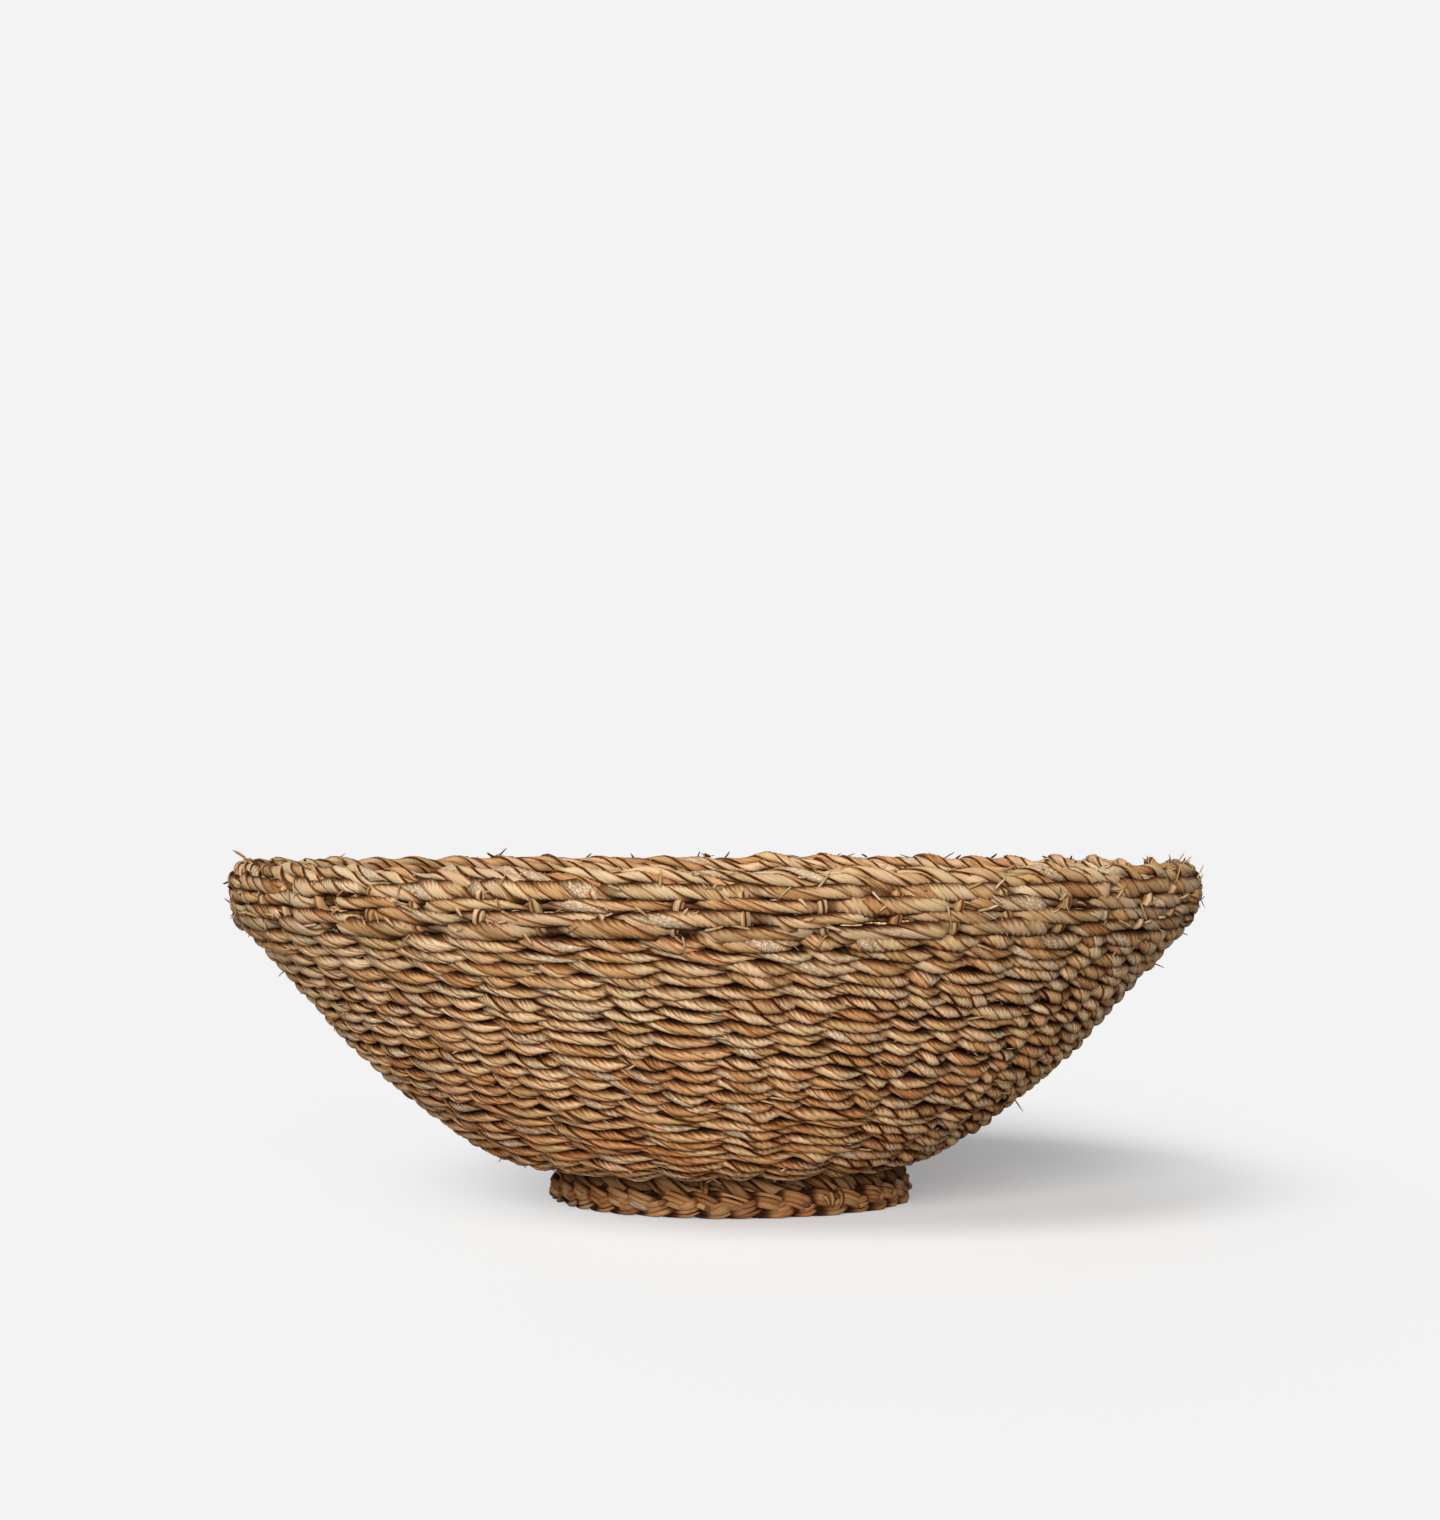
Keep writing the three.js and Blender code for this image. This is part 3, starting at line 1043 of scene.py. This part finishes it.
# Loose leaf ends stick out of the ropes; each has its root inside a rope
looseEnds = {
    "steps": 6,
    "sides": 4,
    "thick": 0.35 * mm,
    "tilt": 0.3,
    "rootTaper": 6,
    "lay": 0.9,
    "leafKeys": 90,
    "rootDepth": 2.6 * mm,
    # scattered: how many, how deep the root is, how far they turn up or down, length and width.
    # Plain lengths here and below are in mm.
    "inWall": {"count": 340, "depth": 4.8, "steep": 0.35, "long": (5, 11), "wide": (0.7, 1.5)},
    "inRim": {"count": 280, "depth": 5.8, "steep": 0.7, "long": (4, 11), "wide": (0.8, 2.0)},
    "turnedBack": 0.35,
    "out": (1.6, 3.8),
    "bowOut": (-1.6, 1.6),
    "bowUp": 2.0,
    # round the border they point every way
    "onBorder": {
        "count": 150,
        "depth": 3.0,
        "turn": (-0.6, 2.4),
        "long": (3, 8),
        "wide": (0.6, 1.6),
        "out": (1.0, 2.6),
        "bow": (-0.6, 1.2),
    },
    # seen in the photograph, and how far these also reach outwards: pixel across and down, on the
    # far side or not, reach to the right and up, bow to the right and up, width
    "seenOut": 1.5,
    "seen": (
        (251, 866, False, -1.5, 9, -6.5, -1, 2.4),
        (256, 866, False, -4, 5, -1, -1, 1.4),
        (336, 864, True, 6, 5, 1, -1, 0.7),
        (316, 864, True, -5, 2.5, -1, -1, 0.7),
        (462, 861, True, 3, 4, 2, -3, 0.7),
        (498, 860, True, 2, 4.5, 4, 2, 1.2),
        (698, 857, True, 0.5, 3.5, 1, 0.5, 0.9),
        (724, 858, True, 4, 3, -1, 1, 1.0),
        (836, 857, True, 2, 3, 1, 0, 0.8),
        (933, 858, True, -3, 3, 0, 1, 0.8),
        (944, 858, True, 5, 4, 1, 0, 0.7),
        (1172, 864, False, -2, 6, -1, 0.5, 1.2),
        (1176, 865, False, 2, 6.5, 1, 0.5, 1.4),
        (1180, 866, False, 4, 4.5, 1, 0.5, 1.0),
        (1157, 955, False, 6, -1, 1, -2, 0.6),
        (1021, 1088, False, 3, -7, 1, -1, 2.2),
        (1188, 924, False, 3.5, -2, 0, 0, 1.4),
        (279, 962, False, -3.5, -2, 0, -2, 1.4),
        (711, 889, False, 1.5, 4.5, 1, 0, 1.8),
        (709, 890, False, -2, 4, -1, 0, 1.2),
        (715, 889, False, 4, 2.5, 1, 1, 1.2),
        (800, 915, False, 4, -1.5, 2, 2, 2.6),
    ),
    # on the foot: which ring, pixel across, height, reach to the right and up, bow to the right
    # and up, width
    "atFoot": (
        ("braid", 828, 12, 6, -2, -5, -6, 3.2),
        ("braid", 836, 12.5, 8, -2, -7, -7, 3.4),
        ("braid", 821, 10, 6, 1, -3, -6, 2.8),
        ("course", 602, 20, 2, -9, 2, -1, 3.0),
        ("course", 610, 21, 0, -11, 0, 0, 3.2),
        ("course", 617, 20, -1, -10, 3, 1, 2.6),
        ("course", 699, 21, 2, -10, 2, 0, 3.2),
        ("course", 707, 21, -3, -11, 2, 0, 3.2),
        ("course", 901, 24, 1.5, -6, -1.5, -6, 3.4),
    ),
}


def leafEnd(sheet, rng, root, reach, bow, wide):
    # a narrow leaf from its root to its tip, bowed on the way
    share = np.linspace(0, 1, looseEnds["steps"] + 1)[:, None]
    path = root + reach * share + bow * share ** 2
    forward = np.gradient(path, axis=0)
    forward /= np.linalg.norm(forward, axis=1)[:, None]
    outward = outwardFrom(root)
    across = np.cross(forward, outward + upright * looseEnds["tilt"])
    across /= np.linalg.norm(across, axis=1)[:, None] + weldGap
    out = np.cross(forward, across)
    out *= np.sign((out * outward).sum(axis=1))[:, None] + weldGap
    taper = np.minimum(share * looseEnds["rootTaper"], 1) * (1 - share ** 3)
    taper = np.sqrt(np.clip(taper, 0, 1))
    around = np.linspace(0, fullTurn, looseEnds["sides"] + 1)[:, None, None]
    places = path + np.cos(around) * wide / 2 * taper * across
    places = places + np.sin(around) * looseEnds["thick"] * taper * out
    lay = share[:, 0] * looseEnds["lay"] + rng.integers(looseEnds["leafKeys"])
    rolledStrand(sheet, places, lay, rng.uniform(0, 1), {})


def ringFrame(angle, way, out):
    # one place on the wall line with an offset outwards, and the directions there
    frames = ringFrames(np.array([angle]), way, np.array([out]))
    place, outward, upward = (item[0] for item in frames)
    return place, outward, upward, np.cross(upright, heading(angle))


halfRing = np.linspace(0, math.pi, 721)


def seenAngle(radius, pixelX, far=False):
    # where round a ring the camera's ray through a pixel column meets it
    angles = halfRing * (1 if far else -1)
    depth = camera["distance"] + radius * np.sin(angles)
    right = radius * np.cos(angles) - camera["side"]
    seenAt = camera["imageWide"] / 2 + camera["focalPixels"] * right / depth
    best = np.argmin(np.abs(seenAt - pixelX))
    return angles[best], depth[best]


def seenRoot(pixelX, pixelY, far):
    # a place on the wall line, or on the border above it, closed in on from the rim
    way = lineWay[-1]
    for _ in range(4):
        angle, depth = seenAngle(lineAt(way)[0][0, 0], pixelX, far)
        rise = (camera["horizonPixel"] - pixelY) * depth / camera["focalPixels"]
        height = camera["height"] + rise
        way = np.interp(height, linePoints[:, 1], lineWay)
    if height > linePoints[-1, 1] + rimPitch / 3:
        return heading(angle) * borderRadius + upright * (borderHeight + looseEnds["rootDepth"])
    return ringFrame(angle, way, looseEnds["rootDepth"] + rimRope["proud"])[0]


def footEnds(sheet, rng, where, radius, aside):
    for onRing, pixelX, level, right, upwards, bowRight, bowUp, wide in looseEnds["atFoot"]:
        if onRing != where:
            continue
        angle, _ = seenAngle(radius, pixelX - aside * camera["focalPixels"] / camera["distance"])
        root = heading(angle) * radius + np.array([aside, 0, level * mm])
        reach = np.array([right, 0, upwards]) * mm + heading(angle) * mm
        leafEnd(sheet, rng, root, reach, np.array([bowRight, 0, bowUp]) * mm, wide * mm)


def scatterEnds(sheet, rng, zone, first, last):
    for _ in range(zone["count"]):
        way = rng.uniform(first, last)
        angle = rng.uniform(0, fullTurn)
        root, outward, upward, fore = ringFrame(angle, way, zone["depth"] * mm)
        length = rng.uniform(*zone["long"]) * mm
        turn = rng.normal(0, zone["steep"])
        turn += math.pi if rng.random() < looseEnds["turnedBack"] else 0
        reach = (fore * math.cos(turn) - upward * math.sin(turn)) * length
        reach = reach + outward * rng.uniform(*looseEnds["out"]) * mm
        bow = outward * rng.uniform(*looseEnds["bowOut"]) * mm
        bow = bow + upward * rng.normal(0, looseEnds["bowUp"]) * mm
        leafEnd(sheet, rng, root, reach, bow, rng.uniform(*zone["wide"]) * mm)


def makeLooseEnds(material):
    rng = np.random.default_rng(67)
    sheet = bmesh.new()
    for pixelX, pixelY, far, right, upwards, bowRight, bowUp, wide in looseEnds["seen"]:
        root = seenRoot(pixelX, pixelY, far)
        reach = np.array([right, 0, upwards]) * mm + outwardFrom(root) * looseEnds["seenOut"] * mm
        leafEnd(sheet, rng, root, reach, np.array([bowRight, 0, bowUp]) * mm, wide * mm)
    half = rimPitch / 2
    scatterEnds(sheet, rng, looseEnds["inWall"], 0, rimStart - half)
    scatterEnds(sheet, rng, looseEnds["inRim"], rimStart - half, lineWay[-1] + half)
    border = looseEnds["onBorder"]
    for _ in range(border["count"]):
        radial = heading(rng.uniform(0, fullTurn))
        fore = np.cross(upright, radial)
        turn = rng.uniform(*border["turn"])
        outward = radial * math.cos(turn) + upright * math.sin(turn)
        root = radial * borderRadius + upright * borderHeight + outward * border["depth"] * mm
        length = rng.uniform(*border["long"]) * mm
        reach = fore * length * rng.choice((-1, 1))
        reach = reach + outward * rng.uniform(*border["out"]) * mm
        bow = outward * rng.uniform(*border["bow"]) * mm
        leafEnd(sheet, rng, root, reach, bow, rng.uniform(*border["wide"]) * mm)
    finished("loose_leaf_ends", sheet, material, [])
    print("loose ends laid")


# Soft light from the front left over a pale seamless floor
studio = {
    "backdrop": 0.896,
    "sky": 0.1,
    "floorColour": 1.0,
    "floorBounce": 0.32,
    "floorGlow": 0.32,
    "farGlow": 0.62,
    "underFoot": 0.8,
    "shadowMiddle": (0.1, 0.03),
    "shadowReach": (0.1, 0.3),
    "shadowDepth": 0.4,
    "floorSize": 400,
    "keyStrength": 1.45,
    "keyFrom": (-0.345, -0.545, 0.764),
    "keyAngle": math.radians(26),
    "fillStrength": 3.75,
    "fillFrom": (-0.079, -0.94, 0.332),
    "fillAngle": math.radians(30),
    "sideStrength": 0.08,
    "sideFrom": (-0.819, -0.219, 0.53),
    "sideAngle": math.radians(36),
}


def grey(level):
    return (level, level, level, 1)


def makeSky():
    world = bpy.data.worlds.new("studio")
    bpy.context.scene.world = world
    shader = Shader(world, "ShaderNodeOutputWorld")
    straight = shader.node("ShaderNodeLightPath", output="Is Camera Ray")
    mirrored = shader.node("ShaderNodeLightPath", output="Is Glossy Ray")
    seen = straight.math("MAXIMUM", straight, mirrored)
    inputs = {"Color": grey(1), "Strength": studio["sky"]}
    light = shader.node("ShaderNodeBackground", inputs=inputs)
    shown = shader.node("ShaderNodeBackground", inputs={"Color": grey(studio["backdrop"])})
    shader.finish(shader.node("ShaderNodeMixShader", inputs={0: seen, 1: light, 2: shown}))


def makeLamps():
    for name in ("key", "fill", "side"):
        sun = bpy.data.lights.new(name + "Light", "SUN")
        sun.energy = studio[name + "Strength"]
        sun.angle = studio[name + "Angle"]
        lamp = placed(name + "Light", sun)
        lamp.rotation_euler = Vector(studio[name + "From"]).to_track_quat("Z", "Y").to_euler()


def floorPaint():
    shader = Shader(bpy.data.materials.new("paleFloor"))
    straight = shader.node("ShaderNodeLightPath", output="Is Camera Ray")
    plain = shader.node("ShaderNodeBsdfDiffuse", inputs={"Color": grey(studio["floorColour"])})
    # the basket gets less light back from the floor than the camera does
    dim = shader.node("ShaderNodeBsdfDiffuse", inputs={"Color": grey(studio["floorBounce"])})
    plain = shader.node("ShaderNodeMixShader", inputs={0: straight, 1: dim, 2: plain})
    # the camera sees the floor's shadows a little filled in, least where the basket's shadow falls
    inputs = {"Color": grey(studio["backdrop"]), "Strength": 1.0}
    glow = shader.node("ShaderNodeEmission", inputs=inputs)
    x, y, _ = shader.apart(shader.node("ShaderNodeTexCoord", output="Object"))
    footSide, footReach, _ = ringOf("foot_braid")
    fromFoot = ((x - footSide) ** 2 + y ** 2) ** 0.5
    outside = fromFoot.over(footReach * studio["underFoot"], footReach)
    middleX, middleY = studio["shadowMiddle"]
    deep = (y - middleY) * studio["shadowDepth"]
    away = (((x - middleX) ** 2 + deep ** 2) ** 0.5).over(*studio["shadowReach"])
    share = straight * outside * (studio["floorGlow"] + away * studio["farGlow"])
    shader.finish(shader.node("ShaderNodeMixShader", inputs={0: share, 1: plain, 2: glow}))
    return shader.owner


def makeFloor():
    sheet = bmesh.new()
    bmesh.ops.create_grid(sheet, x_segments=1, y_segments=1, size=studio["floorSize"] / 2)
    mesh = bpy.data.meshes.new("floor")
    sheet.to_mesh(mesh)
    sheet.free()
    mesh.materials.append(floorPaint())
    floor = placed("floor", mesh)


placeCamera()
makeSky()
makeLamps()
makeFloor()
bpy.context.scene.view_settings.view_transform = "Standard"
print("studio set")

wallLeaf = seagrass("wallSeagrass")
rimLeaf = seagrass("rimSeagrass", darker=0.48, pale=0.07)
footLeaf = seagrass("footSeagrass", redder=0.32, darker=0.75, pale=0.03)
# the foot course's seagrass is painted much darker, a painted shade for the wall's shadow over it,
# and redder
shadedCourseLeaf = seagrass("footCourseSeagrassPaintedShade", redder=0.26, darker=0.93, pale=0.02)
stakeLeaf = seagrass("stakeSeagrass", redder=0.02, darker=0.48)
makeWall(wallLeaf)
makeBase(wallLeaf)
makeRim(rimLeaf)
makeStakes(stakeLeaf)
makeFoot(footLeaf, shadedCourseLeaf)
makeLooseEnds(rimLeaf)
